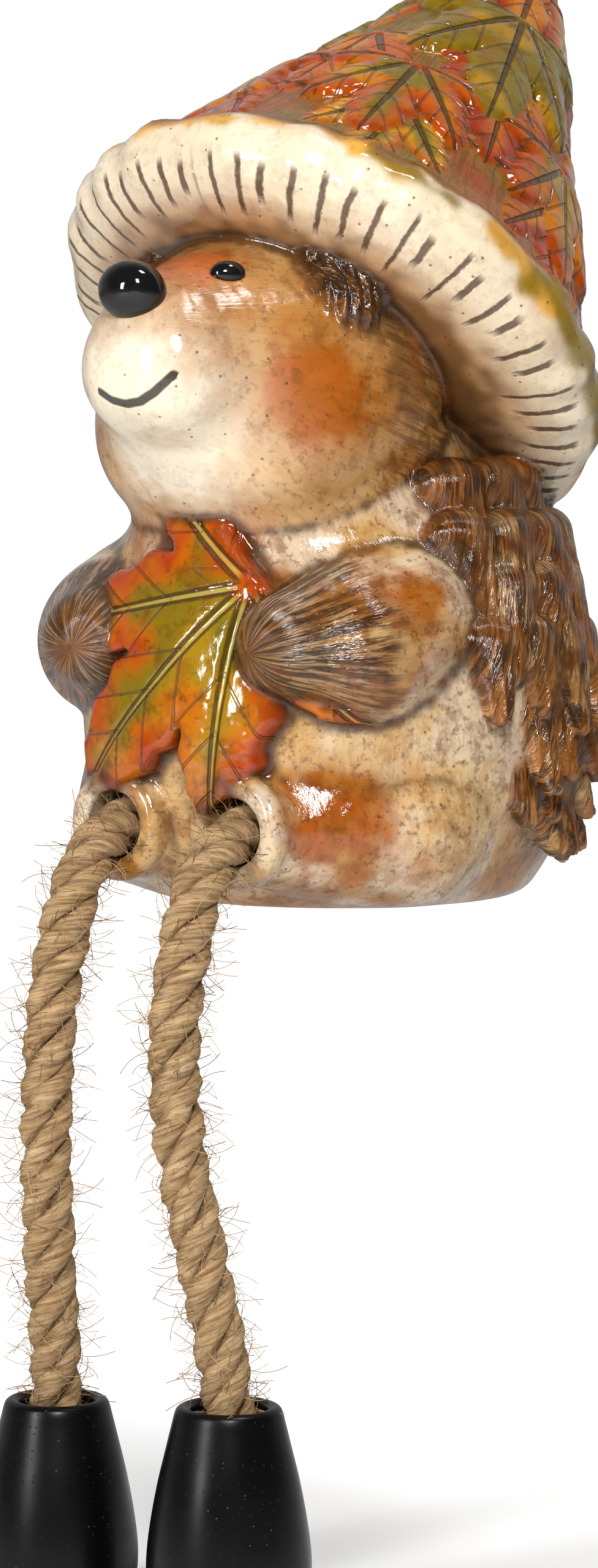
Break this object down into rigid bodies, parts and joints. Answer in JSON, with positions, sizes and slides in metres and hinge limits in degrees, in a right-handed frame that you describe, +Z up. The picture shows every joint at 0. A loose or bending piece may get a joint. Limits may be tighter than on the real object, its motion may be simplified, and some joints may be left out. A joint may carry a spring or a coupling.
{
  "type": "shelf sitter figurine",
  "caption": "Seated glazed hedgehog in a leaf-covered pointed hat, holding a maple leaf, with dangling rope legs that end in turned boots.",
  "frame": {"origin": "on the flat seat, under the middle of the body", "axes": "+Z up, -Y towards the face, +X to the animal's own left"},
  "size_m": [0.0926, 0.122, 0.2675],
  "materials": {
    "tan_glaze": "gloss",
    "cream_glaze": "gloss",
    "leaf_glaze": "gloss",
    "brown_glaze": "gloss",
    "black_glaze": "gloss",
    "jute": "matte",
    "boot_black": "satin",
    "glue": "gloss"
  },
  "bodies": {
    "figure": {"body_casting": "tan_glaze", "head": "tan_glaze", "hat": "cream_glaze", "hat_leaves": "leaf_glaze", "left_ear": "brown_glaze", "right_ear": "brown_glaze", "left_eye": "black_glaze", "right_eye": "black_glaze", "nose": "black_glaze", "left_arm": "tan_glaze", "right_arm": "tan_glaze", "held_leaf": "leaf_glaze", "back_quills": "brown_glaze", "left_knot": "jute", "right_knot": "jute", "left_rope_upper": "jute", "right_rope_upper": "jute"},
    "left_thigh": {"left_rope_middle": "jute"},
    "left_shin": {"left_rope_lower": "jute", "left_glue": "glue", "left_boot": "boot_black"},
    "right_thigh": {"right_rope_middle": "jute"},
    "right_shin": {"right_rope_lower": "jute", "right_glue": "glue", "right_boot": "boot_black"}
  },
  "joints": [
    {"name": "left_hip", "type": "hinge", "parent": "figure", "child": "left_thigh", "pos_m": [0.012, -0.0576, -0.003], "axis": [-1, 0, 0], "range_deg": [-15, 75], "stiffness_Nm_per_rad": 0.01, "deforming": ["left_rope_upper"]},
    {"name": "left_knee", "type": "hinge", "parent": "left_thigh", "child": "left_shin", "pos_m": [0.01264, -0.0595, -0.036], "axis": [-1, 0, 0], "range_deg": [-50, 30], "stiffness_Nm_per_rad": 0.01, "deforming": ["left_rope_middle"]},
    {"name": "right_hip", "type": "hinge", "parent": "figure", "child": "right_thigh", "pos_m": [-0.01262, -0.0572, -0.003], "axis": [-1, 0, 0], "range_deg": [-15, 75], "stiffness_Nm_per_rad": 0.01, "deforming": ["right_rope_upper"]},
    {"name": "right_knee", "type": "hinge", "parent": "right_thigh", "child": "right_shin", "pos_m": [-0.0141, -0.0602, -0.036], "axis": [-1, 0, 0], "range_deg": [-50, 30], "stiffness_Nm_per_rad": 0.01, "deforming": ["right_rope_middle"]}
  ]
}
